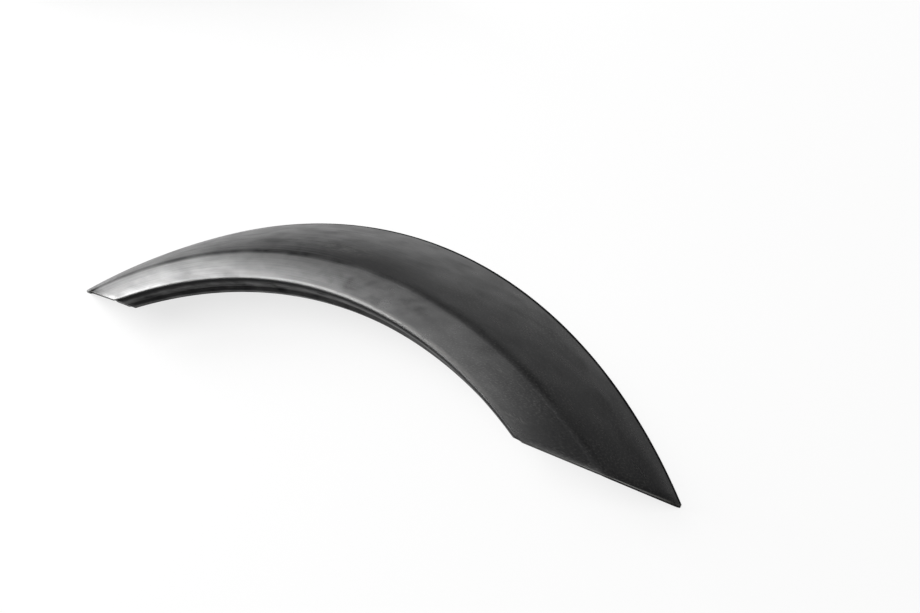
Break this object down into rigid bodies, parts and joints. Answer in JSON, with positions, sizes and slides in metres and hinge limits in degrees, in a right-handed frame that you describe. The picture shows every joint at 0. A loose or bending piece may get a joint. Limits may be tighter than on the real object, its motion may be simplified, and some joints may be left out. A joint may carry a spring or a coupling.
{
  "type": "wheel arch trim",
  "caption": "Crescent wheel arch trim: thin hollow moulded shell with a soft crease, rounded lip and stepped return flange, fixed to a car body round the top of a wheel opening",
  "frame": {"origin": "on the flat seat rim, at the top of the arch, half way across the rim", "axes": "X runs along the car from tip to tip, Y points up on the car, Z points out from the body side, so the trim lies on its back"},
  "size_m": [0.5514, 0.0931, 0.038],
  "materials": {
    "satin_black_plastic": "satin black sheet plastic, formed over a mould and trimmed"
  },
  "bodies": {
    "root": {"arch_trim": "satin_black_plastic"}
  },
  "joints": []
}
